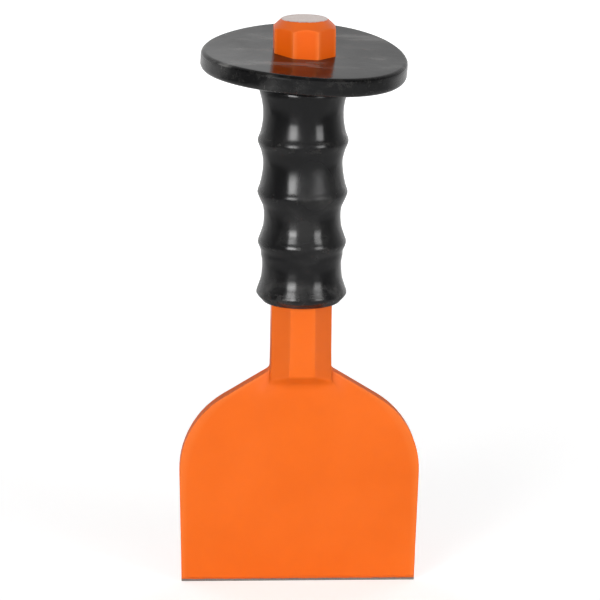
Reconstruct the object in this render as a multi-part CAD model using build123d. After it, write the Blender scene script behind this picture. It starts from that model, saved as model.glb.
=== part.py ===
from build123d import *
import math
import os

# A brick bolster: a chisel forged in one piece and painted, with a soft sleeve
# pushed over its octagonal shank. The sleeve is grip and hand guard in one.
# The origin is the middle of the cutting edge. +X runs along the edge, +Z up
# the shank to the struck face, and -Y is the front. Millimetres and degrees.

# Blade
EDGE_WIDTH = 100.0           # along the cutting edge
SIDE_FLARE = 1.75            # degrees that each side leans out above the edge
SHOULDER_SLOPE = 32.0        # degrees below level, from shank to side
SHOULDER_HEIGHT = 96.5       # where the shoulders meet the shank, above the edge
SHOULDER_RADIUS = 38.0       # round between shoulder and side
ROOT_RADIUS = 2.5            # round between shank and shoulder
BLADE_THICKNESS = 7.5        # at the shoulder height
EDGE_THICKNESS = 3.2         # just above the ground bevels
BEVEL_HEIGHT = 2.4           # of the two ground bevels
EDGE_LAND = 0.4              # flat left along the ground edge
RIM_CHAMFER = 0.8            # flat that breaks the sides' and shoulders' rims

# Shank and struck head
SHANK_FLATS = 25.4           # across the flats of the octagon
SHANK_ROUND = 1.2            # round on the octagon's corners
SHANK_EXPOSED = 31.0         # bare shank from its foot to the grip
FOOT_DEPTH = 3.0             # from the shoulder height down to the octagon's foot
FOOT_DROP = 4.6              # height of the slope from the octagon to the blade
FOOT_SINK = 0.4              # depth of that slope's end inside the blade's face
FOOT_FLARE = 0.9             # growth across the flats down to the foot
FOOT_FLARE_HEIGHT = 9.0      # length of that growth
HEAD_EXPOSED = 14.2          # from the guard's top to the struck face
CHAMFER_INSET = 3.4          # of the turned struck face inside the flats
CHAMFER_HEIGHT = 4.0         # from the octagon's corners up to the struck face

# Grip, the lower part of the sleeve
BORE_CLEARANCE = 0.05        # between shank and sleeve, each side
GROOVE_WALL = 3.6            # sleeve over the flats, in the finger grooves
GROOVE_FLOOR = 5.2           # length of a groove's floor between two slopes
FLOOR_ROUND = 14.0           # round where a slope runs out on a floor
RIDGE_COUNT = 3              # ridges between the grooves
RIDGE_HEIGHT = 2.3           # of the crests above the floors
RIDGE_RISE = 9.4             # length of the slope above a crest
RIDGE_FALL = 7.0             # length of the slope below a crest
CREST_ROUND = 1.4            # round on the crests
RIM_HEIGHT = 4.7             # from the lower end up to the rim's crest
RIM_SWELL = 2.5              # of the rim's crest above the floors
RIM_TUCK = 2.8               # of the lower end inside the rim's crest
RIM_ROUND = 2.4              # round at the lower end

# Hand guard, the upper end of the sleeve
NECK_LENGTH = 20.0           # straight neck from the top ridge to the guard
NECK_ROUND = 6.0             # round between the neck and the guard's underside
GUARD_DIAMETER = 86.0
GUARD_THICKNESS = 7.4
GUARD_TILT = 5.8             # degrees that the soft disc sits askew
GUARD_LOW_SIDE = -63.0       # degrees from +X round to its lowest rim
GUARD_TOP_ROUND = 1.6        # round on the upper rim
GUARD_BASE_ROUND = 2.2       # round on the lower rim

# Heights above the edge, and radii, that follow from these
FOOT_HEIGHT = SHOULDER_HEIGHT - FOOT_DEPTH
GRIP_BOTTOM = FOOT_HEIGHT + SHANK_EXPOSED
RIM_CREST = GRIP_BOTTOM + RIM_HEIGHT
FINGER_PITCH = RIDGE_RISE + GROOVE_FLOOR + RIDGE_FALL
NECK_BOTTOM = RIM_CREST + RIDGE_COUNT * FINGER_PITCH + RIDGE_RISE
GUARD_MIDDLE = NECK_BOTTOM + NECK_LENGTH + GUARD_THICKNESS / 2
OVERALL_LENGTH = GUARD_MIDDLE + GUARD_THICKNESS / 2 + HEAD_EXPOSED
FLAT_RADIUS = SHANK_FLATS / 2
GROOVE_RADIUS = FLAT_RADIUS + GROOVE_WALL
RIDGE_RADIUS = GROOVE_RADIUS + RIDGE_HEIGHT
RIM_RADIUS = GROOVE_RADIUS + RIM_SWELL

HALF_FACET = 360 / 16        # degrees, half of what one side of an octagon spans
ROUND_SHARE = 0.9            # most of a straight stretch that its rounds may use


def octagon(flat_radius, corner_round, height):
    """Rounded octagon, level at a height, with flats facing X and Y."""
    outline = RegularPolygon(flat_radius, 8, major_radius=False, rotation=HALF_FACET)
    return Pos(0, 0, height) * fillet(outline.vertices(), corner_round)


def pressed_octagon(half_width, half_depth, corner_round, height):
    """The same eight corners pressed flat across Y."""
    corner = half_width * math.tan(math.radians(HALF_FACET))
    right = [
        (corner, -half_depth),
        (half_width, -half_depth / 2),
        (half_width, half_depth / 2),
        (corner, half_depth),
    ]
    left = [(-x, -y) for x, y in right]
    outline = make_face(Polyline(*right, *left, close=True))
    return Pos(0, 0, height) * fillet(outline.vertices(), corner_round)


def rounded_outline(corners):
    """Closed face through (point, round) pairs, one for each corner."""
    points = [point for point, _ in corners]
    rounds = [corner_round for _, corner_round in corners]
    return make_face(FilletPolyline(*points, radius=rounds, close=True))


def fitting_round(wanted, turn, stretch):
    """A corner's round, limited so that it uses up no more than a stretch."""
    return min(wanted, stretch / math.tan(math.radians(turn) / 2))


def blade_half_thickness(height):
    """Half the thickness of the wedge above its bevels."""
    share = (height - BEVEL_HEIGHT) / (SHOULDER_HEIGHT - BEVEL_HEIGHT)
    return (EDGE_THICKNESS + share * (BLADE_THICKNESS - EDGE_THICKNESS)) / 2


def blade():
    """Wedge-shaped plate: its front outline crossed with its side section."""
    edge = EDGE_WIDTH / 2
    top = SHOULDER_HEIGHT + 2 * ROOT_RADIUS
    # The leaning side and the sloping shoulder meet at a corner to be rounded
    lean = math.tan(math.radians(SIDE_FLARE))
    slope = math.tan(math.radians(SHOULDER_SLOPE))
    corner_z = (SHOULDER_HEIGHT - slope * (edge - FLAT_RADIUS)) / (1 + slope * lean)
    corner_x = edge + lean * corner_z
    shoulder_round = fitting_round(
        SHOULDER_RADIUS,
        90 + SIDE_FLARE - SHOULDER_SLOPE,
        ROUND_SHARE * min(corner_z, corner_x - FLAT_RADIUS),
    )
    right = [
        ((edge, 0), 0),
        ((corner_x, corner_z), shoulder_round),
        ((FLAT_RADIUS, SHOULDER_HEIGHT), ROOT_RADIUS),
        ((FLAT_RADIUS, top), 0),
    ]
    left = [((-x, z), corner_round) for (x, z), corner_round in reversed(right)]
    plate = extrude(Plane.XZ * rounded_outline(right + left), BLADE_THICKNESS, both=True)

    back = [
        (EDGE_LAND / 2, 0),
        (EDGE_THICKNESS / 2, BEVEL_HEIGHT),
        (blade_half_thickness(top), top),
    ]
    front = [(-y, z) for y, z in reversed(back)]
    section = make_face(Polyline(*back, *front, close=True))
    wedge = plate & extrude(Plane.YZ * section, corner_x, both=True)

    # Break the sides and shoulders, not the bevels or the end inside the shank
    faces = wedge.faces().sort_by(Axis.Y)
    rims = faces[0].edges() + faces[-1].edges()
    sides = [rim for rim in rims if rim.bounding_box().size.Z > EDGE_LAND]
    return chamfer(sides, min(RIM_CHAMFER, ROUND_SHARE * EDGE_THICKNESS / 2))


def shank():
    """Octagonal bar with a flared foot, and a turned chamfer at its head."""
    flare_top = FOOT_HEIGHT + FOOT_FLARE_HEIGHT
    bar_end = octagon(FLAT_RADIUS, SHANK_ROUND, flare_top)
    bar = extrude(bar_end, OVERALL_LENGTH - flare_top)
    struck_radius = FLAT_RADIUS - CHAMFER_INSET
    corner_radius = (FLAT_RADIUS - SHANK_ROUND) / math.cos(math.radians(HALF_FACET)) + SHANK_ROUND
    spread = (corner_radius - struck_radius) / CHAMFER_HEIGHT
    turned = Cone(
        struck_radius + spread * OVERALL_LENGTH,
        struck_radius,
        OVERALL_LENGTH,
        align=(Align.CENTER, Align.CENTER, Align.MIN),
    )

    foot_radius = FLAT_RADIUS + FOOT_FLARE / 2
    foot_end = FOOT_HEIGHT - FOOT_DROP
    foot = octagon(foot_radius, SHANK_ROUND, FOOT_HEIGHT)
    sunk = pressed_octagon(foot_radius, blade_half_thickness(foot_end) - FOOT_SINK, FOOT_SINK, foot_end)
    flare = loft([foot, bar_end], ruled=True)
    slope = loft([sunk, foot], ruled=True)
    return (bar & turned) + flare + slope


def forged_chisel():
    """Blade, shank and struck head: one forging."""
    return blade() + shank()


def grip():
    """Turned sleeve with finger grooves, from its lower end into the guard."""
    steepest = math.degrees(math.atan2(RIDGE_HEIGHT, min(RIDGE_RISE, RIDGE_FALL)))
    floor_round = fitting_round(FLOOR_ROUND, steepest, ROUND_SHARE * GROOVE_FLOOR / 2)
    profile = [
        ((0, GRIP_BOTTOM), 0),
        ((RIM_RADIUS - RIM_TUCK, GRIP_BOTTOM), RIM_ROUND),
        ((RIM_RADIUS, RIM_CREST), CREST_ROUND),
        ((GROOVE_RADIUS, RIM_CREST + RIDGE_RISE), floor_round),
    ]
    for number in range(1, RIDGE_COUNT + 1):
        crest = RIM_CREST + number * FINGER_PITCH
        profile += [
            ((GROOVE_RADIUS, crest - RIDGE_FALL), floor_round),
            ((RIDGE_RADIUS, crest), CREST_ROUND),
            ((GROOVE_RADIUS, crest + RIDGE_RISE), floor_round),
        ]
    profile += [((GROOVE_RADIUS, GUARD_MIDDLE), 0), ((0, GUARD_MIDDLE), 0)]
    return revolve(Plane.XZ * rounded_outline(profile), Axis.Z)


def guard():
    """Round disc with rounded rims, sitting a little askew on the shank."""
    half = GUARD_THICKNESS / 2
    section = rounded_outline([
        ((0, -half), 0),
        ((GUARD_DIAMETER / 2, -half), GUARD_BASE_ROUND),
        ((GUARD_DIAMETER / 2, half), GUARD_TOP_ROUND),
        ((0, half), 0),
    ])
    disc = revolve(Plane.XZ * section, Axis.Z)
    return Pos(0, 0, GUARD_MIDDLE) * Rot(0, 0, GUARD_LOW_SIDE) * Rot(0, GUARD_TILT, 0) * disc


def guard_grip():
    """Grip and guard: one soft moulding with the shank's octagonal bore."""
    moulding = grip() + guard()
    neck_edge = moulding.edges().filter_by(GeomType.ELLIPSE).sort_by(Axis.Z)[-1]
    moulding = fillet(neck_edge, NECK_ROUND)
    bore = octagon(FLAT_RADIUS + BORE_CLEARANCE, SHANK_ROUND + BORE_CLEARANCE, 0)
    return moulding - extrude(bore, OVERALL_LENGTH)


os.makedirs("parts", exist_ok=True)
for make in (forged_chisel, guard_grip):
    piece = make()
    export_step(piece, f"parts/{make.__name__}.step")
    size = piece.bounding_box().size
    print(f"{make.__name__}: {size.X:.1f} x {size.Y:.1f} x {size.Z:.1f} mm, {piece.volume / 1000:.1f} cm3")
print(f"overall length {OVERALL_LENGTH:.1f} mm, finger pitch {FINGER_PITCH:.1f} mm")
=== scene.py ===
# %% [markdown]
# # A brick bolster, dressed for its portrait
#
# A bolster is a wide cold chisel for splitting bricks. It has two pieces: a chisel that is
# forged from one octagonal bar and painted, and a soft black moulding, grip and hand guard
# in one, that is pushed over its shank. The CAD model gives their places and sizes. This
# lesson rebuilds both with the softer shapes of forging and moulding, and gives them their
# finishes. Everything is in metres, in the CAD model's own frame.

import math

import bmesh
import bpy
from mathutils import Matrix, Quaternion, Vector, noise
from mathutils.geometry import interpolate_bezier


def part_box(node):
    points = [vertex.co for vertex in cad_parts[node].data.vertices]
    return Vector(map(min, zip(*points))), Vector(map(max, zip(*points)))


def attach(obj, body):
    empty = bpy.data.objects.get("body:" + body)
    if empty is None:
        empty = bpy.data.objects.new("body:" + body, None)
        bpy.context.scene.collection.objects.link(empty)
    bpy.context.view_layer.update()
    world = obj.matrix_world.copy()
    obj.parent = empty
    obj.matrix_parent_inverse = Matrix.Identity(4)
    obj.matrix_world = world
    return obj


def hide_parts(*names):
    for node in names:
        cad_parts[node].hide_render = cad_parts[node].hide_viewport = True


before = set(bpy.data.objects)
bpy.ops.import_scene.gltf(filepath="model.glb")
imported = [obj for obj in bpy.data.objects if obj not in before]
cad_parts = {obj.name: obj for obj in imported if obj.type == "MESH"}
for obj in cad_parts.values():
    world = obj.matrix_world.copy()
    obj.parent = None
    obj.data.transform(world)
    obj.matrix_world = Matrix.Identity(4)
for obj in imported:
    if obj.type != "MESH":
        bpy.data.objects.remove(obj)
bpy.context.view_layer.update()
MM = 0.001
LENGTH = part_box("forged_chisel")[1].z
scene = bpy.context.scene
scene.view_settings.view_transform = "Standard"
print("nodes:", sorted(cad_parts), "length: %.1f mm" % (LENGTH / MM))

# %% [markdown]
# ## The camera
#
# The tool stands on its edge, and the camera looks a little down on it, from a metre and a
# half away and a few degrees left of straight on. It could be aimed with a constraint, but
# a direction turned into a rotation is easier to read, and it leaves room for the small
# roll that makes the tool lean to the right in the picture.

# %% Camera
VIEW_DISTANCE = 1.5
VIEW_AZIMUTH, VIEW_ELEVATION, VIEW_ROLL = -3.5, 14.3, 0.7
LOOK_AT = Vector((-0.5, 0, 124.5)) * MM
LENS = 213.4


def from_front(azimuth, elevation):
    """Direction out from the tool: azimuth 0 is its front and grows to the right."""
    turn, rise = math.radians(azimuth), math.radians(elevation)
    level = math.cos(rise)
    return Vector((math.sin(turn) * level, -math.cos(turn) * level, math.sin(rise)))


camera_data = bpy.data.cameras.new("portrait_camera")
camera_data.lens = LENS
camera = bpy.data.objects.new("portrait_camera", camera_data)
scene.collection.objects.link(camera)
scene.camera = camera
outward = from_front(VIEW_AZIMUTH, VIEW_ELEVATION)
roll = Quaternion((0, 0, 1), math.radians(VIEW_ROLL))
camera.rotation_mode = "QUATERNION"
camera.rotation_quaternion = (-outward).to_track_quat("-Z", "Y") @ roll
camera.location = LOOK_AT + outward * VIEW_DISTANCE
print("camera at", [round(x, 3) for x in camera.location])

# %% [markdown]
# ## The studio
#
# Two tall softboxes stand in front, a bright one on the left and a weaker one on the right.
# A wide dim screen behind the camera fills in, and weak lamps keep the back readable. These
# lamps only light the tool. A lamp would be mirrored as a flat rectangle, so reflections get
# cards of their own in the next two parts. The white round the tool isn't light on it either:
# floor and world shine only for the camera and for reflections, which the Light Path node
# tells apart. The floor shines more with distance, so the white is even.

# %% Helpers for node trees
def add_node(tree, kind, **settings):
    """A new node with its settings."""
    made = tree.nodes.new(kind)
    for name, value in settings.items():
        setattr(made, name, value)
    return made


def white_for_the_eye(tree):
    """1 for camera, mirror and glass rays, and 0 for light that falls on the tool."""
    path = add_node(tree, "ShaderNodeLightPath")
    both = add_node(tree, "ShaderNodeMath", operation="ADD")
    every = add_node(tree, "ShaderNodeMath", operation="ADD", use_clamp=True)
    tree.links.new(path.outputs["Is Camera Ray"], both.inputs[0])
    tree.links.new(path.outputs["Is Glossy Ray"], both.inputs[1])
    tree.links.new(both.outputs[0], every.inputs[0])
    tree.links.new(path.outputs["Is Transmission Ray"], every.inputs[1])
    return every.outputs[0]


def ramp(tree, value, low, high, out_low=0.0, out_high=1.0):
    """A smooth step of a value between two limits."""
    made = add_node(tree, "ShaderNodeMapRange", interpolation_type="SMOOTHSTEP")
    for label, number in zip(("From Min", "From Max", "To Min", "To Max"),
                             (low, high, out_low, out_high)):
        made.inputs[label].default_value = number
    tree.links.new(value, made.inputs["Value"])
    return made.outputs[0]


def calculate(tree, operation, first, second):
    """One sum on two values, each a socket or a number."""
    made = add_node(tree, "ShaderNodeMath", operation=operation)
    for slot, value in enumerate((first, second)):
        if isinstance(value, (int, float)):
            made.inputs[slot].default_value = value
        else:
            tree.links.new(value, made.inputs[slot])
    return made.outputs[0]


# %% World
ROOM_LIGHT = 0.14
world = bpy.data.worlds.new("white_room")
world.use_nodes = True
scene.world = world
tree = world.node_tree
tree.nodes.clear()
room = add_node(tree, "ShaderNodeBackground")
room.inputs["Strength"].default_value = ROOM_LIGHT
white = add_node(tree, "ShaderNodeBackground")
choice = add_node(tree, "ShaderNodeMixShader")
sky = add_node(tree, "ShaderNodeOutputWorld")
tree.links.new(white_for_the_eye(tree), choice.inputs["Fac"])
tree.links.new(room.outputs[0], choice.inputs[1])
tree.links.new(white.outputs[0], choice.inputs[2])
tree.links.new(choice.outputs[0], sky.inputs["Surface"])
print("room light:", ROOM_LIGHT)

# %% Finish of the floor
FLOOR_TONE = 0.80
NEAR_GLOW, FAR_GLOW = 0.57, 0.90
GLOW_START, GLOW_END = 0.25, 1.5
floor_finish = bpy.data.materials.new("white_floor")
floor_finish.use_nodes = True
tree = floor_finish.node_tree
tree.nodes.clear()
matt = add_node(tree, "ShaderNodeBsdfDiffuse")
matt.inputs["Color"].default_value = (FLOOR_TONE, FLOOR_TONE, FLOOR_TONE, 1)
spot = add_node(tree, "ShaderNodeTexCoord").outputs["Object"]
away = add_node(tree, "ShaderNodeVectorMath", operation="LENGTH")
tree.links.new(spot, away.inputs[0])
fade = ramp(tree, away.outputs["Value"], GLOW_START, GLOW_END, NEAR_GLOW, FAR_GLOW)
level = add_node(tree, "ShaderNodeMath", operation="MULTIPLY")
glow = add_node(tree, "ShaderNodeEmission")
total = add_node(tree, "ShaderNodeAddShader")
result = add_node(tree, "ShaderNodeOutputMaterial")
tree.links.new(white_for_the_eye(tree), level.inputs[0])
tree.links.new(fade, level.inputs[1])
tree.links.new(level.outputs[0], glow.inputs["Strength"])
tree.links.new(matt.outputs[0], total.inputs[0])
tree.links.new(glow.outputs[0], total.inputs[1])
tree.links.new(total.outputs[0], result.inputs["Surface"])
print("floor finish:", floor_finish.name)

# %% Floor
FLOOR_HALF = 12
bm = bmesh.new()
bmesh.ops.create_grid(bm, x_segments=1, y_segments=1, size=FLOOR_HALF)
floor_mesh = bpy.data.meshes.new("floor")
bm.to_mesh(floor_mesh)
bm.free()
floor = bpy.data.objects.new("floor", floor_mesh)
floor_mesh.materials.append(floor_finish)
scene.collection.objects.link(floor)
print("floor: %d m wide" % (2 * FLOOR_HALF))

# %% Softboxes
GRIP_MIDDLE = Vector((0, 0, 170 * MM))
LAMP_WATTS = 4  # a square metre, for a lamp whose surface has brightness 1


def softbox(name, azimuth, elevation, distance, width, height, brightness):
    """A rectangular lamp that faces the grip, and that no reflection shows."""
    light = bpy.data.lights.new(name, "AREA")
    light.shape = "RECTANGLE"
    light.size, light.size_y = width, height
    light.energy = brightness * LAMP_WATTS * width * height
    lamp = bpy.data.objects.new(name, light)
    away = from_front(azimuth, elevation)
    lamp.rotation_mode = "QUATERNION"
    lamp.rotation_quaternion = (-away).to_track_quat("-Z", "Y")
    lamp.location = GRIP_MIDDLE + away * distance
    lamp.visible_camera = lamp.visible_glossy = False
    scene.collection.objects.link(lamp)
    print(name, "at", [round(x, 2) for x in lamp.location])


softbox("key_softbox", -30.5, 9.5, 1.6, 0.60, 0.78, 7.5)
softbox("fill_softbox", 43, 9.5, 1.6, 0.54, 0.78, 4.5)
softbox("front_screen", 12, 18, 2.4, 4.2, 2.3, 0.60)
softbox("back_left_fill", -138, 14, 1.4, 0.9, 0.7, 2.6)
softbox("back_right_fill", 138, 14, 1.4, 0.9, 0.7, 2.6)

# %% [markdown]
# ## Cards for the reflections
#
# Something black and shiny shows its surroundings more than itself, so a photographer puts
# cards round it to draw its rounds. Two standing cards at the sides give the dark bands next
# to the highlights, and one behind the camera is the dark of the room. Cards overhead and on
# the floor keep the chamfer and the undersides from turning white, and a small one close
# behind the shoulders does that for the blade's rims. Most change their tone along one axis,
# so no edge of theirs shows. Only reflections see them: they throw no shadow and no light.
# A card can also be dimmed for the guard and the head alone, which the next part needs.

# %% Hang a flag before a card
FLAG_RADIUS, FLAG_LOW, FLAG_HIGH = 30 * MM, 219.5 * MM, 222 * MM


def rise_and_run(tree, vector):
    """The upright part of a vector, and the length of its level part."""
    parts = add_node(tree, "ShaderNodeSeparateXYZ")
    tree.links.new(vector, parts.inputs[0])
    level = add_node(tree, "ShaderNodeVectorMath", operation="MULTIPLY")
    level.inputs[1].default_value = (1, 1, 0)
    tree.links.new(vector, level.inputs[0])
    run = add_node(tree, "ShaderNodeVectorMath", operation="LENGTH")
    tree.links.new(level.outputs[0], run.inputs[0])
    return parts.outputs["Z"], run.outputs["Value"]


def flag(tree, spot, strength, tone):
    """Dims a card to a tone for rays that leave the tool above its grip."""
    way = add_node(tree, "ShaderNodeNewGeometry").outputs["Incoming"]
    height, distance = rise_and_run(tree, spot)
    slope = calculate(tree, "DIVIDE", *rise_and_run(tree, way))
    travelled = calculate(tree, "SUBTRACT", distance, FLAG_RADIUS)
    left_at = calculate(tree, "ADD", height, calculate(tree, "MULTIPLY", slope, travelled))
    choice = add_node(tree, "ShaderNodeMix")
    tree.links.new(ramp(tree, left_at, FLAG_LOW, FLAG_HIGH), choice.inputs["Factor"])
    tree.links.new(strength, choice.inputs["A"])
    choice.inputs["B"].default_value = tone
    return choice.outputs["Result"]


# %% Make a card
def card(name, tones, width, height, place, axis="Y", span=(-0.2, 0.5), dimmed_to=None):
    """A card that only reflections see. Its tone changes along an axis, over a span in metres."""
    bm = bmesh.new()
    bmesh.ops.create_grid(bm, x_segments=1, y_segments=1, size=0.5)
    bmesh.ops.scale(bm, verts=bm.verts, vec=(width, height, 1))
    bmesh.ops.transform(bm, verts=bm.verts, matrix=place)
    mesh = bpy.data.meshes.new(name)
    bm.to_mesh(mesh)
    bm.free()
    finish = bpy.data.materials.new(name)
    finish.use_nodes = True
    tree = finish.node_tree
    tree.nodes.clear()
    spot = add_node(tree, "ShaderNodeTexCoord").outputs["Object"]
    axes = add_node(tree, "ShaderNodeSeparateXYZ")
    shine = add_node(tree, "ShaderNodeEmission")
    result = add_node(tree, "ShaderNodeOutputMaterial")
    tree.links.new(spot, axes.inputs[0])
    strength = ramp(tree, axes.outputs[axis], *span, *tones)
    if dimmed_to:
        strength = flag(tree, spot, strength, dimmed_to)
    tree.links.new(strength, shine.inputs["Strength"])
    tree.links.new(shine.outputs[0], result.inputs["Surface"])
    mesh.materials.append(finish)
    made = bpy.data.objects.new(name, mesh)
    made.visible_camera = made.visible_diffuse = made.visible_shadow = False
    scene.collection.objects.link(made)
    print(name, "tones", tones)


# %% Stand the cards up or lay them down
def standing(azimuth, distance, middle):
    """Place of an upright card that faces the tool, with its middle at a height."""
    away = from_front(azimuth, 0)
    upright = away.to_track_quat("Z", "Y").to_matrix().to_4x4()
    return Matrix.Translation(away * distance + Vector((0, 0, middle))) @ upright


def lying(x, y, height):
    """Place of a card that lies flat."""
    return Matrix.Translation((x, y, height))


card("left_card", (0.16, 0.6), 1.37, 1.2, standing(-84.5, 0.8, 0.6))
card("right_card", (0.20, 0.6), 1.2, 1.2, standing(89, 0.8, 0.6))
card("front_card", (0.44, 0.44), 6, 3, standing(VIEW_AZIMUTH, 2.7, 1.5))
card("back_card", (0.20, 0.5), 0.13, 0.064, standing(180, 0.035, 0.077), "Z", (0.098, 0.109))
card("top_card", (0.45, 0.45), 0.8, 0.8, lying(0, 0, 1.2))
card("floor_card", (0.45, 0.80), 5, 6, lying(0, -0.6, 0.001), "Y", (0.0, 0.5))
card("left_floor_card", (0.14, 0.45), 0.95, 1.0, lying(-0.72, -0.25, 0.002), "X", (-0.75, -0.25))
card("right_floor_card", (0.45, 0.22), 0.9, 1.0, lying(0.95, -0.25, 0.002), "X", (0.5, 0.8))

# %% [markdown]
# ## Bright cards for the highlights
#
# The two columns of highlights on the grip are the softboxes, mirrored in its ridges. Each
# highlight fades out upwards or downwards with the slope that mirrors it, because a softbox
# is brightest in front of its bulb and dimmer towards its edge. So two bright cards stand
# where the softboxes are, dim at the foot and bright above. The flat guard would mirror them
# as a white glare, and a photographer hangs a flag that keeps them off it. Here the flag is
# part of the card's finish: from the height at which a ray leaves the tool it knows whether
# the ray comes from the grip, which sees the bright card, or from the guard and the head,
# which see only a dim one.

# %% Bright cards where the softboxes are
GLOW_SPAN = 0.0, 0.42
card("key_glow", (2.0, 10.5), 0.60, 0.78, standing(-30.5, 1.58, 0.434), "Z", GLOW_SPAN,
     dimmed_to=1.2)
card("fill_glow", (1.2, 5.6), 0.54, 0.78, standing(43, 1.58, 0.434), "Z", GLOW_SPAN,
     dimmed_to=0.8)

# %% [markdown]
# ## Effects that both finishes share
#
# Neither paint nor moulded plastic is perfectly even, and both get rubbed where hands and
# bricks touch them. These two effects are node groups, so that each finish can use them
# with its own sizes and amounts. They read Object coordinates, which are metres here.

# %% Group: uneven coat
def new_group(name, sockets_in, sockets_out):
    """An empty node group with named number sockets, and its two end nodes."""
    group = bpy.data.node_groups.new(name, "ShaderNodeTree")
    for label, value in sockets_in:
        socket = group.interface.new_socket(label, in_out="INPUT", socket_type="NodeSocketFloat")
        socket.default_value = value
    for label in sockets_out:
        group.interface.new_socket(label, in_out="OUTPUT", socket_type="NodeSocketFloat")
    return group, add_node(group, "NodeGroupInput"), add_node(group, "NodeGroupOutput")


def noise_node(tree, where, detail, roughness=0.5):
    """A noise texture that reads the given coordinates."""
    made = add_node(tree, "ShaderNodeTexNoise")
    made.inputs["Detail"].default_value = detail
    made.inputs["Roughness"].default_value = roughness
    tree.links.new(where, made.inputs["Vector"])
    return made


coat_group, start, end = new_group(
    "uneven_coat",
    [("Waves per metre", 30), ("Peel per metre", 700), ("Peel share", 0.3)],
    ["Tone", "Peel", "Height"])
place = add_node(coat_group, "ShaderNodeTexCoord").outputs["Object"]
waves = noise_node(coat_group, place, 3)
peel = noise_node(coat_group, place, 1)
both = add_node(coat_group, "ShaderNodeMix")
for label, texture in (("Waves per metre", waves), ("Peel per metre", peel)):
    coat_group.links.new(start.outputs[label], texture.inputs["Scale"])
coat_group.links.new(start.outputs["Peel share"], both.inputs["Factor"])
coat_group.links.new(waves.outputs["Fac"], both.inputs["A"])
coat_group.links.new(peel.outputs["Fac"], both.inputs["B"])
coat_group.links.new(waves.outputs["Fac"], end.inputs["Tone"])
coat_group.links.new(peel.outputs["Fac"], end.inputs["Peel"])
coat_group.links.new(both.outputs["Result"], end.inputs["Height"])
print("group:", coat_group.name)

# %% Group: rubbed edges
rub_group, start, end = new_group(
    "rubbed_edges", [("Edge", 0), ("Amount", 0.5), ("Flecks per metre", 400)], ["Mask"])
place = add_node(rub_group, "ShaderNodeTexCoord").outputs["Object"]
flecks = noise_node(rub_group, place, 4, 0.65)
rub_group.links.new(start.outputs["Flecks per metre"], flecks.inputs["Scale"])
reach = calculate(rub_group, "MULTIPLY", start.outputs["Edge"], start.outputs["Amount"])
bitten = calculate(rub_group, "ADD", reach, flecks.outputs["Fac"])
rub_group.links.new(ramp(rub_group, bitten, 0.92, 1.04), end.inputs["Mask"])
print("group:", rub_group.name)

# %% [markdown]
# ## Orange enamel over steel
#
# The chisel is dipped or sprayed in orange enamel, then the cutting edge is ground bare
# and the first hammer blows clear the struck face. One material does all three: the height
# on the tool says where the steel is bare, with a noisy border as paint flakes leave it.
# Grinding marks run across the bare edge, and its steel is darker than the struck face as a
# painted shade on the downward bevel. The corners are painted a paler orange, a painted
# highlight along the rounds; the head is painted a deeper orange, a painted shade; and the
# paint dries duller in the folds beside the bar, where it pools.

# %% Start a finish
def new_finish(name, roughness, reflectivity, index):
    """A material with a Principled shader, and the tree that it is built in."""
    finish = bpy.data.materials.new(name)
    finish.use_nodes = True
    shader = finish.node_tree.nodes["Principled BSDF"]
    shader.inputs["Roughness"].default_value = roughness
    shader.inputs["Specular IOR Level"].default_value = reflectivity
    shader.inputs["IOR"].default_value = index
    return finish, finish.node_tree, shader


def use_group(tree, group, **values):
    """A node group in a material, with its own values; underscores stand for spaces."""
    made = add_node(tree, "ShaderNodeGroup", node_tree=group)
    for label, value in values.items():
        made.inputs[label.replace("_", " ")].default_value = value
    return made


def blend_colours(tree, share, first, second):
    """A mix of two colours; each is a socket or three numbers."""
    made = add_node(tree, "ShaderNodeMix", data_type="RGBA")
    tree.links.new(share, made.inputs["Factor"])
    for slot, colour in ((6, first), (7, second)):
        if isinstance(colour, tuple):
            made.inputs[slot].default_value = (*colour, 1)
        else:
            tree.links.new(colour, made.inputs[slot])
    return made.outputs[2]


# %% Distances and relief
def distance_to(tree, where, point):
    """How far the surface is from a point."""
    made = add_node(tree, "ShaderNodeVectorMath", operation="DISTANCE")
    made.inputs[1].default_value = point
    tree.links.new(where, made.inputs[0])
    return made.outputs["Value"]


def bump(tree, shader, height, strength, depth):
    """A bump from a height in the range 0 to 1."""
    made = add_node(tree, "ShaderNodeBump")
    made.inputs["Strength"].default_value = strength
    made.inputs["Distance"].default_value = depth
    tree.links.new(height, made.inputs["Height"])
    tree.links.new(made.outputs[0], shader.inputs["Normal"])


enamel, tree, shader = new_finish("orange_enamel_on_steel", 0.32, 0.28, 1.5)
coat = use_group(tree, coat_group, Waves_per_metre=34, Peel_per_metre=620, Peel_share=0.35)
print("finish:", enamel.name)

# %% Where the steel is bare
RAGGED = 0.8 * MM
GROUND_LINE = 1.15 * MM, 1.45 * MM
STRUCK_LINE = LENGTH - 0.55 * MM, LENGTH - 0.25 * MM
where = add_node(tree, "ShaderNodeTexCoord").outputs["Object"]
axes = add_node(tree, "ShaderNodeSeparateXYZ")
tree.links.new(where, axes.inputs[0])
ragged = noise_node(tree, where, 5, 0.6)
ragged.inputs["Scale"].default_value = 420
wander = calculate(tree, "SUBTRACT", ragged.outputs["Fac"], 0.5)
wander = calculate(tree, "MULTIPLY", wander, RAGGED)
height = calculate(tree, "ADD", axes.outputs["Z"], wander)
ground = ramp(tree, height, *GROUND_LINE, 1, 0)
struck = ramp(tree, height, *STRUCK_LINE)
rubbed = use_group(tree, rub_group, Amount=0.34, Flecks_per_metre=520)
edge = add_node(tree, "ShaderNodeAttribute", attribute_name="rubbed")
tree.links.new(edge.outputs["Fac"], rubbed.inputs["Edge"])
bare = calculate(tree, "MAXIMUM", calculate(tree, "MAXIMUM", ground, struck), rubbed.outputs[0])
print("bare along the edge and on the struck face")

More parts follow.
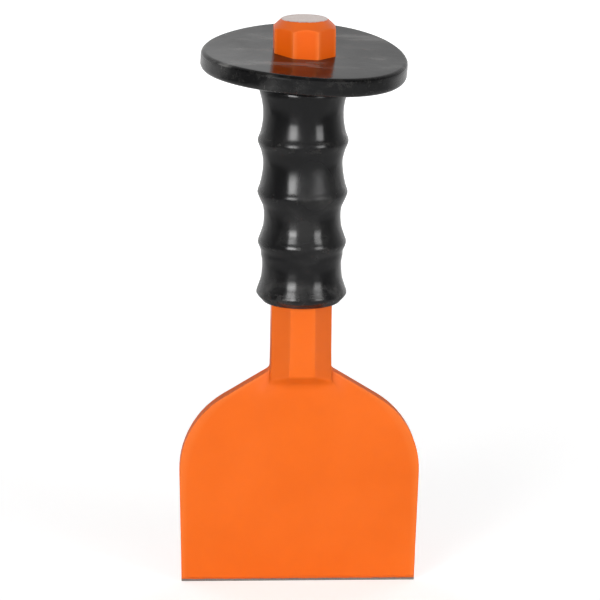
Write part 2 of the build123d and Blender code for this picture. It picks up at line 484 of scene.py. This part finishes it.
# %% Colours of paint and steel
PALE_PAINT, DEEP_PAINT = (0.875, 0.149, 0.006), (0.81, 0.131, 0.004)
# On the next line: painted shade for the head, and a painted highlight for the rounds.
SHADED_HEAD_PAINT, GLINT_PAINT = (0.875, 0.1215, 0.001), (0.94, 0.25, 0.06)
# Painted shade: the ground edge's steel is coloured dark; its streaks are grinding marks.
PALE_EDGE, DARK_EDGE = (0.38, 0.34, 0.31), (0.17, 0.15, 0.14)
STRUCK_STEEL = (0.75, 0.65, 0.615)
HEAD_LINE = 222 * MM, 228 * MM
TONE_SPAN = 0.15, 0.85
stretch = add_node(tree, "ShaderNodeMapping")
stretch.inputs["Scale"].default_value = (2200, 300, 60)
tree.links.new(where, stretch.inputs["Vector"])
grinding = noise_node(tree, stretch.outputs[0], 2)
grinding.inputs["Scale"].default_value = 1
paint = blend_colours(tree, ramp(tree, coat.outputs["Tone"], *TONE_SPAN), DEEP_PAINT, PALE_PAINT)
# Painted shade: above the guard the paint is coloured a deeper orange.
on_head = ramp(tree, axes.outputs["Z"], *HEAD_LINE)
paint = blend_colours(tree, on_head, paint, SHADED_HEAD_PAINT)
# Painted highlight: the marked rounds are coloured a paler orange.
painted_glint = calculate(tree, "MULTIPLY", edge.outputs["Fac"], 0.55)
paint = blend_colours(tree, painted_glint, paint, GLINT_PAINT)
# The ground steel gets the dark, painted-shade colours; the struck face gets pale steel.
shaded_edge_steel = blend_colours(tree, grinding.outputs["Fac"], DARK_EDGE, PALE_EDGE)
steel = blend_colours(tree, struck, shaded_edge_steel, STRUCK_STEEL)
tree.links.new(blend_colours(tree, bare, paint, steel), shader.inputs["Base Color"])
tree.links.new(bare, shader.inputs["Metallic"])
print("enamel colours from", DEEP_PAINT, "to", PALE_PAINT)

# %% Shine and relief of paint and steel
FOLD = Vector((14.5, 4.5, 91)) * MM
one_side = add_node(tree, "ShaderNodeVectorMath", operation="ABSOLUTE")
tree.links.new(where, one_side.inputs[0])
from_fold = distance_to(tree, one_side.outputs[0], FOLD)
pooled = ramp(tree, from_fold, 2.5 * MM, 8 * MM, 0.25, 0)
sheen = ramp(tree, coat.outputs["Tone"], *TONE_SPAN, 0.285, 0.37)
sheen = calculate(tree, "ADD", sheen, pooled)
dull = ramp(tree, grinding.outputs["Fac"], 0.2, 0.8, 0.30, 0.50)
gloss = add_node(tree, "ShaderNodeMix")
for slot, value in (("Factor", bare), ("A", sheen), ("B", dull)):
    tree.links.new(value, gloss.inputs[slot])
tree.links.new(gloss.outputs["Result"], shader.inputs["Roughness"])
relief = add_node(tree, "ShaderNodeMix")
paint_relief, scratches = coat.outputs["Height"], grinding.outputs["Fac"]
for slot, value in (("Factor", bare), ("A", paint_relief), ("B", scratches)):
    tree.links.new(value, relief.inputs[slot])
bump(tree, shader, relief.outputs["Result"], 0.30, 0.06 * MM)
print("enamel nodes:", len(tree.nodes))

# %% [markdown]
# ## Black soft plastic
#
# The grip is a soft black plastic with a wet shine from its polished mould. Almost all of
# its look is reflection, so the colour is nearly black and the roughness does the work: it
# wanders a little, and is duller where fingers rub the ridges and the guard's rim, and in one
# spot where the thumb rests. Pale dust lies in smears on the guard, and thinly elsewhere. A
# film of it, thickest on the low side in front, takes a part of the guard's shine, but the
# head is still mirrored there.

# %% Black finish
DEEP_BLACK, PALE_BLACK = (0.0015, 0.0015, 0.0018), (0.005, 0.005, 0.0055)
RUBBED_BLACK = (0.012, 0.0115, 0.011)
THUMB = Vector((6, -17, 177)) * MM
plastic, tree, shader = new_finish("black_soft_plastic", 0.22, 0.5, 1.5)
skin = use_group(tree, coat_group, Waves_per_metre=55, Peel_per_metre=210, Peel_share=0.4)
worn = use_group(tree, rub_group, Amount=0.42, Flecks_per_metre=260)
edge = add_node(tree, "ShaderNodeAttribute", attribute_name="rubbed")
tree.links.new(edge.outputs["Fac"], worn.inputs["Edge"])
black = blend_colours(tree, skin.outputs["Tone"], DEEP_BLACK, PALE_BLACK)
black = blend_colours(tree, worn.outputs["Mask"], black, RUBBED_BLACK)
shine = ramp(tree, skin.outputs["Tone"], 0.3, 0.7, 0.15, 0.262)
rough = calculate(tree, "ADD", shine, calculate(tree, "MULTIPLY", worn.outputs["Mask"], 0.10))
where = add_node(tree, "ShaderNodeTexCoord").outputs["Object"]
rested = ramp(tree, distance_to(tree, where, THUMB), 4 * MM, 15 * MM, 0.18, 0)
rough = calculate(tree, "ADD", rough, rested)
print("plastic:", plastic.name)

# %% Dust on the guard
DUST = (0.16, 0.157, 0.153)
flat = add_node(tree, "ShaderNodeAttribute", attribute_name="guard").outputs["Fac"]
smear = add_node(tree, "ShaderNodeMapping")
smear.inputs["Rotation"].default_value = (0, 0, math.radians(-28))
smear.inputs["Scale"].default_value = (34, 90, 60)
tree.links.new(where, smear.inputs["Vector"])
dust = noise_node(tree, smear.outputs[0], 4, 0.6)
dust.inputs["Scale"].default_value = 1
axes = add_node(tree, "ShaderNodeSeparateXYZ")
tree.links.new(where, axes.inputs[0])
low = ramp(tree, axes.outputs["Z"], 131 * MM, 138 * MM, 0.3, 0.1)
high = ramp(tree, axes.outputs["Z"], 219 * MM, 223 * MM, 0.0, 0.2)
spread = calculate(tree, "MAXIMUM", flat, calculate(tree, "MAXIMUM", low, high))
dusty = calculate(tree, "MULTIPLY", ramp(tree, dust.outputs["Fac"], 0.46, 0.72), spread)
tree.links.new(blend_colours(tree, dusty, black, DUST), shader.inputs["Base Color"])
print("dust:", DUST)

# %% Shine of the grip and the guard
GRIP_SHINE, FRONT_LOSS, BACK_LOSS = 0.5, 0.38, 0.20
loss = ramp(tree, axes.outputs["Y"], -40 * MM, 0, FRONT_LOSS, BACK_LOSS)
loss = calculate(tree, "MULTIPLY", flat, loss)
left_over = calculate(tree, "SUBTRACT", GRIP_SHINE, loss)
tree.links.new(left_over, shader.inputs["Specular IOR Level"])
tree.links.new(rough, shader.inputs["Roughness"])
bump(tree, shader, skin.outputs["Height"], 0.45, 0.20 * MM)
print("plastic nodes:", len(tree.nodes))

# %% [markdown]
# ## The forged chisel: four guide lines
#
# The smith draws the bar's end out into a blade. Each side of the bar runs out into a
# shoulder, and its front and back step down onto the blade's flat faces in a soft foot. One
# ring, extruded from the head down to the edge, can follow all that if it is told where its
# corners go. By symmetry four lines are enough: the bar's front corner, its side corner, the
# seam where the bar meets the face, and the blade's rim. Their bends are rounded, as hot
# steel leaves them.

# %% Lengths of the chisel
FLAT = 12.7 * MM
CORNER = math.tan(math.radians(22.5))
FLARE, SHOULDER, BEVEL = 104 * MM, 95.5 * MM, 2.4 * MM
SHOULDER_CORNER = Vector((51.6, 0, 71.3)) * MM
EDGE_CORNER = Vector((50.07, 0, 2.4)) * MM
EDGE_HALF, THICKENING = 1.6 * MM, 2.15 * MM


def half_thickness(z):
    """Half the blade's thickness at a height: it tapers from the shoulder to the edge."""
    return EDGE_HALF + (z - BEVEL) / (SHOULDER - BEVEL) * THICKENING


def straight(first, last, count):
    """Evenly spaced points after the first, up to and with the last."""
    return [first.lerp(last, (k + 1) / count) for k in range(count)]


def rounded(before, corner, after, radius, count):
    """Points of the arc that rounds off a corner."""
    back, on = (before - corner).normalized(), (after - corner).normalized()
    half = back.angle(on) / 2
    centre = corner + (back + on).normalized() * (radius / math.sin(half))
    first = (corner + back * (radius / math.tan(half)) - centre).normalized()
    last = (corner + on * (radius / math.tan(half)) - centre).normalized()
    return [centre + first.slerp(last, k / (count - 1)) * radius for k in range(count)]


print("half thickness at the shoulder: %.2f mm" % (half_thickness(SHOULDER) / MM))

# %% Front corner and side corner
SHANK_RINGS, FOOT_RINGS, SEAM_RINGS, BLADE_RINGS = 34, 7, 8, 24


def down_the_shank(x, y):
    """A line on the bar, from the head to where it starts to flare."""
    top = Vector((x, y, LENGTH))
    return [top] + straight(top, Vector((x, y, FLARE)), SHANK_RINGS)


def on_the_face(x, z):
    """A point of the blade's face."""
    return Vector((x, half_thickness(z), z))


def over_the_foot(line, foot, seam, edge, foot_round, seam_round):
    """Carries a corner of the bar on over the foot, in to the face and down to the edge."""
    over = rounded(line[-1], foot, seam, foot_round, FOOT_RINGS)
    under = rounded(foot, seam, edge, seam_round, SEAM_RINGS)
    return line + over + under + straight(under[-1], edge, BLADE_RINGS)


front_corner = over_the_foot(
    down_the_shank(FLAT * CORNER, FLAT), foot=Vector((5.45, 12.3, 93.4)) * MM,
    seam=on_the_face(6.4 * MM, 89.2 * MM), edge=on_the_face(12 * MM, BEVEL),
    foot_round=2.0 * MM, seam_round=4.5 * MM)
side_corner = over_the_foot(
    down_the_shank(FLAT, FLAT * CORNER), foot=Vector((12.95, 5.5, 91.2)) * MM,
    seam=on_the_face(13.3 * MM, 88.9 * MM), edge=on_the_face(24 * MM, BEVEL),
    foot_round=0.8 * MM, seam_round=2.5 * MM)
print("stations:", len(front_corner), len(side_corner))

# %% Seam
seam_end = on_the_face(15.4 * MM, 88.0 * MM)
seam = down_the_shank(FLAT, 3.95 * MM)
seam += interpolate_bezier(Vector((12.9, 4.1, 95.2)) * MM, Vector((13.0, 4.05, 92.4)) * MM,
                           Vector((13.2, 3.75, 89.2)) * MM, seam_end, FOOT_RINGS + SEAM_RINGS)
seam += straight(seam_end, on_the_face(36 * MM, BEVEL), BLADE_RINGS)
print("seam stations:", len(seam))

# %% Rim
rim_root = Vector((12.95, 3.2, 94.85)) * MM
shoulder_arc = rounded(rim_root * Vector((1, 0, 1)), SHOULDER_CORNER, EDGE_CORNER, 38 * MM, 15)
for point in shoulder_arc + [EDGE_CORNER]:
    point.y = half_thickness(point.z)
rim = down_the_shank(FLAT, 2.6 * MM)
rim += rounded(rim[-1], rim_root, shoulder_arc[0], 3.0 * MM, FOOT_RINGS + SEAM_RINGS)
rim += straight(rim[-1], shoulder_arc[0], 3)
rim += shoulder_arc[1:] + straight(shoulder_arc[-1], EDGE_CORNER, 7)
print("rim stations:", len(rim), "widest: %.1f mm" % (2 * max(p.x for p in rim) / MM))

# %% [markdown]
# ## The forged chisel: rings
#
# The ring starts as a circle whose points are set down on the octagon. Every extrusion then
# sets a new ring down on the next stations of the lines. The convex lines are then bevelled
# in two groups, the blade's rims and the bar's corners, so that each can be marked with its
# own wear and its own strength of painted highlight. The bevel runs out unseen where a line
# crosses the flat faces. A cell beside such a line has to be wider than the bevel, so the ring
# isn't divided evenly.

# %% Divide a ring
CELLS, ROUND, ROUND_ROOM = 6, 0.7 * MM, 0.85 * MM
QUARTER = [(rim, True), (seam, False), (side_corner, True), (front_corner, True)]
CORNERS = [(line, convex, 1, 1) for line, convex in QUARTER]
CORNERS += [(line, convex, -1, 1) for line, convex in reversed(QUARTER)]
CORNERS += [(line, convex, -1, -1) for line, convex in QUARTER]
CORNERS += [(line, convex, 1, -1) for line, convex in reversed(QUARTER)]


def corner_place(index, station):
    """Where one of the sixteen corners is at a station."""
    line, _, side, depth = CORNERS[index % len(CORNERS)]
    return line[station] * Vector((side, depth, 1))


def cell_shares(reach, first_convex, last_convex):
    """Where a span between two corners is divided, with room for the bevel beside a convex one."""
    room = min(0.6 if first_convex != last_convex else 0.45, max(1 / CELLS, ROUND_ROOM / reach))
    low, high = room * first_convex, 1 - room * last_convex
    inner = CELLS - first_convex - last_convex
    marks = [low + (high - low) * k / inner for k in range(inner + last_convex)]
    return [0] * first_convex + marks


def ring_places(station):
    """Places of all the points of a ring."""
    places = []
    for index in range(len(CORNERS)):
        first, last = corner_place(index, station), corner_place(index + 1, station)
        ends = CORNERS[index][1], CORNERS[(index + 1) % len(CORNERS)][1]
        places += [first.lerp(last, share) for share in cell_shares((last - first).length, *ends)]
    return places


print("points in a ring:", len(ring_places(0)))

# %% Extrude the rings
def extrude_ring(bm, ring, places):
    """Extrudes a ring of edges and sets the new ring's points down at their places."""
    edges = [bm.edges.get((a, b)) for a, b in zip(ring, ring[1:] + ring[:1])]
    made = bmesh.ops.extrude_edge_only(bm, edges=edges)["geom"]
    fresh = {item for item in made if isinstance(item, bmesh.types.BMVert)}
    following = []
    for old, spot in zip(ring, places):
        point = next(e.other_vert(old) for e in old.link_edges if e.other_vert(old) in fresh)
        point.co = spot
        following.append(point)
    return following


bm = bmesh.new()
# The rubbed mark drives wear flecks; on the chisel it also drives a painted highlight, paler paint
# along the rounds.
rubbed_layer = bm.verts.layers.float.new("rubbed")
bmesh.ops.create_circle(bm, segments=len(CORNERS) * CELLS, radius=FLAT)
ring = sorted(bm.verts, key=lambda v: math.atan2(v.co.y, v.co.x) % math.tau)
for point, spot in zip(ring, ring_places(0)):
    point.co = spot
rim_corners = [k * CELLS for k, corner in enumerate(CORNERS) if corner[0] is rim]
bar_corners = [k * CELLS for k, corner in enumerate(CORNERS) if corner[1] and corner[0] is not rim]
rim_edges, bar_edges = [], []
for station in range(1, len(rim)):
    following = extrude_ring(bm, ring, ring_places(station))
    rim_edges += [bm.edges.get((ring[k], following[k])) for k in rim_corners]
    bar_edges += [bm.edges.get((ring[k], following[k])) for k in bar_corners]
    ring = following
print("rings:", len(rim), "points:", len(bm.verts))

# %% Round the convex lines
HEAD_START = 226 * MM
# Each value drives wear flecks and the strength of a painted highlight on those rounds.
RIM_WEAR_AND_GLINT, HEAD_WEAR_AND_GLINT, BAR_WEAR_AND_GLINT = 0.6, 0.75, 0.15


def round_edges(bm, edges, width, segments):
    """Bevels edges to a round and gives the points of the new faces."""
    made = bmesh.ops.bevel(bm, geom=edges, offset=width, offset_type="OFFSET",
                           segments=segments, profile=0.5, affect="EDGES",
                           clamp_overlap=True, loop_slide=True, material=-1)
    return {v for face in made["faces"] for v in face.verts}


for point in round_edges(bm, rim_edges, ROUND, 4):
    point[rubbed_layer] = RIM_WEAR_AND_GLINT * (point.co.z < SHOULDER)
for point in round_edges(bm, bar_edges, ROUND, 4):
    on_head = point.co.z > HEAD_START
    point[rubbed_layer] = HEAD_WEAR_AND_GLINT if on_head else BAR_WEAR_AND_GLINT * (point.co.z > SHOULDER)
print("rounded points:", sum(v[rubbed_layer] > 0 for v in bm.verts))

# %% [markdown]
# ## The forged chisel: the foot
#
# Hot steel doesn't stop at a line: below the bar's foot the blade's faces still swell a
# little, and the swelling dies away towards the edge and the sides. If the guide lines held
# it, facets would show between them, so every point is pushed out afterwards by a smooth
# amount. A few turns of smoothing then melt the folds of the foot into the face.

# %% Swell the blade towards the foot
SWELL, SWELL_WIDTH = 3.0 * MM, 24 * MM
SWELL_START, SWELL_TOP, SWELL_END = 45 * MM, 89 * MM, 93.4 * MM


def ease(low, high, value):
    """A smooth step from 0 to 1 between two limits."""
    share = min(1, max(0, (value - low) / (high - low)))
    return share * share * (3 - 2 * share)


for point in bm.verts:
    grown = ease(SWELL_START, SWELL_TOP, point.co.z)
    grown *= 1 - ease(SWELL_TOP, SWELL_END, point.co.z)
    across = min(1, abs(point.co.x) / SWELL_WIDTH)
    outer = min(1, abs(point.co.y) / half_thickness(point.co.z))
    push = SWELL * grown * (1 - across ** 2) ** 2 * outer
    point.co.y += math.copysign(push, point.co.y)
print("swelling: %.1f mm a side" % (SWELL / MM))

# %% Melt the foot into the blade
FOOT_LOW, FOOT_HIGH, FOOT_WIDE = 85.5 * MM, 94 * MM, 19 * MM
ENDS_HIGH, ENDS_START = 93 * MM, 9 * MM
FOOT_TURNS, ENDS_TURNS = 8, 3
foot = [v for v in bm.verts if FOOT_LOW < v.co.z < FOOT_HIGH and abs(v.co.x) < FOOT_WIDE]
ends = [v for v in foot if abs(v.co.x) > ENDS_START and v.co.z < ENDS_HIGH]
for points, turns in ((foot, FOOT_TURNS), (ends, ENDS_TURNS)):
    for _ in range(turns):
        bmesh.ops.smooth_vert(bm, verts=points, factor=0.5,
                              use_axis_x=True, use_axis_y=True, use_axis_z=True)
print("softened points:", len(foot), "at the ends:", len(ends))

# %% [markdown]
# ## The forged chisel: struck head and cutting edge
#
# The head is chamfered on a lathe. A cone cuts an octagon in scallops: lowest at the
# corners, highest in the middle of each flat. Sinking each point of the top ring by its own
# distance from the axis gives exactly that line. The cutting edge is the opposite case: two
# flat bevels pinch the last ring together, down to a thin land.

# %% Find open ends and new points
def open_loop(bm, test):
    """Edges of an open end whose points pass a test."""
    return [e for e in bm.edges if e.is_boundary and all(test(v) for v in e.verts)]


def new_points(made):
    """The points that an extrusion made."""
    return [item for item in made["geom"] if isinstance(item, bmesh.types.BMVert)]


print("open edges:", sum(e.is_boundary for e in bm.edges))

# %% Chamfer the head
STRUCK_RADIUS, CHAMFER_SPREAD, CHAMFER_WEAR_AND_GLINT = 9.3 * MM, 1.0875, 0.4
# The chamfer gets wear flecks and the painted highlight as well.
scallops = open_loop(bm, lambda v: v.co.z > LENGTH - MM)
for point in {v for e in scallops for v in e.verts}:
    point.co.z = LENGTH - (point.co.xy.length - STRUCK_RADIUS) / CHAMFER_SPREAD
    point[rubbed_layer] = CHAMFER_WEAR_AND_GLINT
for point in new_points(bmesh.ops.extrude_edge_only(bm, edges=scallops)):
    point.co.xy = point.co.xy.normalized() * STRUCK_RADIUS
    point.co.z = LENGTH
    point[rubbed_layer] = CHAMFER_WEAR_AND_GLINT
print("struck face: %.1f mm across" % (2 * STRUCK_RADIUS / MM))

# %% Close the struck face
STRUCK_RINGS = 8.0, 6.4, 4.8, 3.2, 1.6
SCALLOP_ROUND, STRUCK_ROUND = 0.45 * MM, 0.6 * MM
ring_edges = struck_edges = open_loop(bm, lambda v: v.co.z > LENGTH - 0.1 * MM)
for radius in STRUCK_RINGS:
    for point in new_points(bmesh.ops.extrude_edge_only(bm, edges=ring_edges)):
        point.co.xy = point.co.xy.normalized() * radius * MM
        point[rubbed_layer] = 0
    ring_edges = open_loop(bm, lambda v: v.co.z > LENGTH - 0.1 * MM)
middle = bmesh.ops.contextual_create(bm, geom=ring_edges)["faces"]
bmesh.ops.poke(bm, faces=middle)
round_edges(bm, scallops, SCALLOP_ROUND, 3)
round_edges(bm, struck_edges, STRUCK_ROUND, 3)
lowest = min(v.co.z for v in bm.verts if v.co.z > LENGTH - 5 * MM)
print("scallops down to %.2f mm below the top" % ((LENGTH - lowest) / MM))

# %% Hammer the struck face
DENT_DEPTH, DENTS_PER_METRE = 0.22 * MM, 260
level_points = [v for v in bm.verts if v.co.z > LENGTH - 0.01 * MM]
dents = [v for v in level_points if v.co.xy.length < STRUCK_RADIUS - MM]
for point in dents:
    point.co.z -= DENT_DEPTH * max(0, noise.noise(point.co * DENTS_PER_METRE) + 0.25)
print("dented points:", len(dents))

# %% Grind the cutting edge
LAND_SHARE = 0.125
ground_loop = open_loop(bm, lambda v: v.co.z < BEVEL + 0.1 * MM)
for point in new_points(bmesh.ops.extrude_edge_only(bm, edges=ground_loop)):
    point.co.y *= LAND_SHARE
    point.co.z = 0
bmesh.ops.contextual_create(bm, geom=open_loop(bm, lambda v: v.co.z < 0.1 * MM))
print("edge closed:", not any(e.is_boundary for e in bm.edges))

# %% [markdown]
# ## The forged chisel: the hand of the hammer
#
# A drop-forged face is never a perfect plane. A slow noise pushes each point in or out by
# less than a tenth of a millimetre, enough for the light to wander over the paint. Weighted
# normals then keep the broad faces flat and let only the narrow rounds turn the light.

# %% Finish the chisel
def finished_piece(name, bm, finish, node, crease):
    """Turns a bmesh into a piece that rides on the tool and stands for a CAD node."""
    bmesh.ops.remove_doubles(bm, verts=bm.verts, dist=1e-6)
    bmesh.ops.recalc_face_normals(bm, faces=bm.faces)
    mesh = bpy.data.meshes.new(name)
    bm.to_mesh(mesh)
    bm.free()
    mesh.shade_smooth()
    mesh.set_sharp_from_angle(angle=math.radians(crease))
    mesh.materials.append(finish)
    piece = bpy.data.objects.new(name, mesh)
    scene.collection.objects.link(piece)
    evened = piece.modifiers.new("even_light", "WEIGHTED_NORMAL")
    evened.keep_sharp = True
    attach(piece, "root")
    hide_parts(node)
    print(name, "triangles:", sum(len(p.vertices) - 2 for p in mesh.polygons))


FORGED_LOW, FORGED_HIGH, FORGED_FADE = 4 * MM, LENGTH - 6 * MM, 12 * MM
FORGED_DEPTH, WAVES_PER_METRE = 0.07 * MM, 38
bm.normal_update()
for point in bm.verts:
    if FORGED_LOW < point.co.z < FORGED_HIGH:
        fade = min(1, (point.co.z - FORGED_LOW) / FORGED_FADE)
        wave = noise.noise(point.co * WAVES_PER_METRE)
        point.co += point.normal * (wave * FORGED_DEPTH * fade)
finished_piece("painted_chisel", bm, enamel, "forged_chisel", 26)

# %% [markdown]
# ## The guard grip: one profile
#
# Grip and guard come out of one mould, so one profile can be spun into both. The finger
# ridges aren't plain waves: each flares out slowly down to its crest, like the mouth of a
# trumpet, ends in a small steep lip, and falls back fully below it. The highlights show these
# slopes clearly and no two ridges are the same, so each has a list of its own: how far above
# the crest, how far in, and how steep. A Bezier curve holds that with a few points a ridge,
# and reading the curve as a mesh gives the points to spin.

# %% Lengths of the sleeve
BORE = 12.75
GRIP_BOTTOM, GUARD_UNDER, GUARD_TOP, GUARD_RADIUS = 124.5, 222.9, 230.9, 43.0
RIDGES = (  # crest's height, its radius, radius of the groove below, mouth above the crest
    (150.1, 18.5, 16.6,
     ((0.9, 0.13, 16), (1.8, 0.44, 22.5), (2.9, 0.85, 18.5), (4.0, 1.22, 18.5), (5.6, 1.76, 18),
      (7.0, 2.11, 10), (8.6, 2.31, 4))),
    (171.5, 18.85, 16.05,
     ((0.95, 0.14, 17), (2.0, 0.53, 22), (3.3, 0.95, 15), (5.0, 1.35, 12), (8.3, 1.93, 8.5))),
    (193.4, 18.95, 16.6,
     ((0.95, 0.14, 17), (2.3, 0.66, 25), (3.7, 1.16, 15), (5.4, 1.55, 11.5), (8.6, 2.02, 7))),
)
MOUTH_END = 12
profile = []


def bend(radius, height, lean, before, after):
    """One point of the profile in mm: lean is from straight up, outward positive."""
    turn = math.radians(lean)
    along = Vector((math.sin(turn), 0, math.cos(turn)))
    profile.append((Vector((radius, 0, height)), along, before, after))


print("ridges:", len(RIDGES))

# %% Profile of the grip
bend(BORE, GRIP_BOTTOM, 90, 0, 0.6)
bend(15.2, GRIP_BOTTOM, 90, 0.6, 0.8)
bend(16.85, 125.4, 35, 0.8, 0.6)
bend(18.4, 127.1, 30, 0.6, 0.5)
bend(19.0, 128.4, 0, 0.5, 0.4)
bend(18.72, 129.6, -19, 0.4, 0.8)
bend(17.8, 132.3, -20, 0.8, 0.6)
bend(17.12, 134.6, -11, 0.7, 0.9)
bend(16.8, 137.0, -4, 0.9, 1.2)
for crest, top, below, mouth in RIDGES:
    bend(below, crest - 9.6, 0, 1.2, 1.3)
    bend(below + 0.45, crest - 6.0, 14, 0.9, 0.8)
    bend(top - 1.15, crest - 3.3, 21, 0.8, 0.7)
    bend(top - 0.25, crest - 1.1, 18, 0.7, 0.4)
    bend(top, crest, 0, 0.4, 0.25)
    rises = [0] + [rise for rise, drop, lean in mouth] + [MOUTH_END]
    for k, (rise, drop, lean) in enumerate(mouth):
        bend(top - drop, crest + rise, -lean, (rise - rises[k]) / 3, (rises[k + 2] - rise) / 3)
print("profile points of the grip:", len(profile))

# %% Profile of the neck and the guard
bend(16.82, 205.6, 0, 1.2, 0.8)
bend(17.08, 208.8, 9, 1.0, 1.0)
bend(18.1, 213.2, 19, 1.3, 0.6)
bend(18.45, 215.4, 0, 0.7, 0.5)
bend(18.2, 217.0, -14, 0.5, 0.6)
bend(18.2, 219.4, 14, 0.8, 1.4)
bend(24.0, GUARD_UNDER, 90, 3.2, 4.0)
bend(GUARD_RADIUS - 2.2, GUARD_UNDER, 90, 4.0, 1.2)
bend(GUARD_RADIUS, GUARD_UNDER + 2.2, 0, 1.2, 0.8)
bend(GUARD_RADIUS, GUARD_TOP - 1.8, 0, 0.8, 1.0)
bend(GUARD_RADIUS - 1.8, GUARD_TOP, -90, 1.0, 5.0)
bend(20.0, GUARD_TOP, -90, 5.0, 1.5)
bend(BORE, GUARD_TOP, -90, 1.5, 0)
print("profile points:", len(profile))

# %% Draw the profile
curve = bpy.data.curves.new("sleeve_profile", "CURVE")
curve.dimensions = "3D"
curve.resolution_u = 6
spline = curve.splines.new("BEZIER")
spline.bezier_points.add(len(profile) - 1)
spline.use_cyclic_u = True
for point, (spot, lean, before, after) in zip(spline.bezier_points, profile):
    point.handle_left_type = point.handle_right_type = "FREE"
    point.co = spot * MM
    point.handle_left = (spot - lean * before) * MM
    point.handle_right = (spot + lean * after) * MM
drawing = bpy.data.objects.new("sleeve_profile", curve)
outline = bpy.data.meshes.new_from_object(drawing)
print("drawn points:", len(outline.vertices))

# %% Spin the profile
SPIN_STEPS = 144
bm = bmesh.new()
bm.from_mesh(outline)
rubbed_layer = bm.verts.layers.float.new("rubbed")
guard_layer = bm.verts.layers.float.new("guard")
bmesh.ops.spin(bm, geom=bm.verts[:] + bm.edges[:], axis=(0, 0, 1), cent=(0, 0, 0),
               angle=math.tau, steps=SPIN_STEPS, use_merge=True)
bmesh.ops.remove_doubles(bm, verts=bm.verts, dist=1e-6)
bpy.data.objects.remove(drawing)
bpy.data.curves.remove(curve)
bpy.data.meshes.remove(outline)
print("spun points:", len(bm.verts))

# %% [markdown]
# ## The guard grip: bore, rub and lean
#
# Three things aren't round. The bore has taken the shank's octagon, so its points move out
# to the eight flats. The mould's two halves meet in a faint line along the sides. And the
# soft guard has sagged: it leans down to the front right and is bent a little, so the disc
# and the neck under it are turned, more and more from the neck upwards.

# %% Shape the bore and mark the rubbed ridges
BORE_CORNER = 1.066
MOULD_LINE, MOULD_LINE_HALF = 0.06 * MM, 0.3 * MM
RIDGE_RADIUS, RIDGES_END = 18.2 * MM, 200 * MM


def octagon_reach(angle):
    """Distance from the axis to the bore's wall in a direction."""
    off = (angle + math.pi / 8) % (math.pi / 4) - math.pi / 8
    return min(BORE / math.cos(off), BORE * BORE_CORNER) * MM


for point in bm.verts:
    radius, angle = point.co.xy.length, math.atan2(point.co.y, point.co.x)
    if radius < (BORE + 0.05) * MM:
        point.co.xy = point.co.xy.normalized() * octagon_reach(angle)
    elif abs(point.co.y) < MOULD_LINE_HALF:
        point.co.xy += point.co.xy.normalized() * MOULD_LINE
    on_ridge = radius > RIDGE_RADIUS and point.co.z < RIDGES_END
    on_rim = radius > (GUARD_RADIUS - 1.5) * MM
    point[rubbed_layer] = 1.0 if on_ridge or on_rim else 0.0
    point[guard_layer] = float(point.co.z > (GUARD_TOP - 1) * MM)
print("rubbed points:", sum(v[rubbed_layer] > 0 for v in bm.verts))

# %% Lean the guard
LEAN, LOW_SIDE = math.radians(6.0), math.radians(-66.5)
SAG_START, SAG_END = 212 * MM, 223 * MM
SAG_BEND, SAG_TWIST = 0.96 * MM, 1.6 * MM
guard_middle = Vector((0, 0, 226.9 * MM))
hinge = Vector((-math.sin(LOW_SIDE), math.cos(LOW_SIDE), 0))
for point in bm.verts:
    share = ease(SAG_START, SAG_END, point.co.z)
    if share and point.co.xy.length > (BORE + 1.2) * MM or share == 1:
        lean = Quaternion(hinge, LEAN * share)
        across, along = point.co.xy / (GUARD_RADIUS * MM)
        point.co = guard_middle + lean @ (point.co - guard_middle)
        sag = SAG_BEND * (along ** 2 - across ** 2) + SAG_TWIST * across * along
        point.co.z += share * sag
finished_piece("finger_grip_with_guard", bm, plastic, "guard_grip", 40)
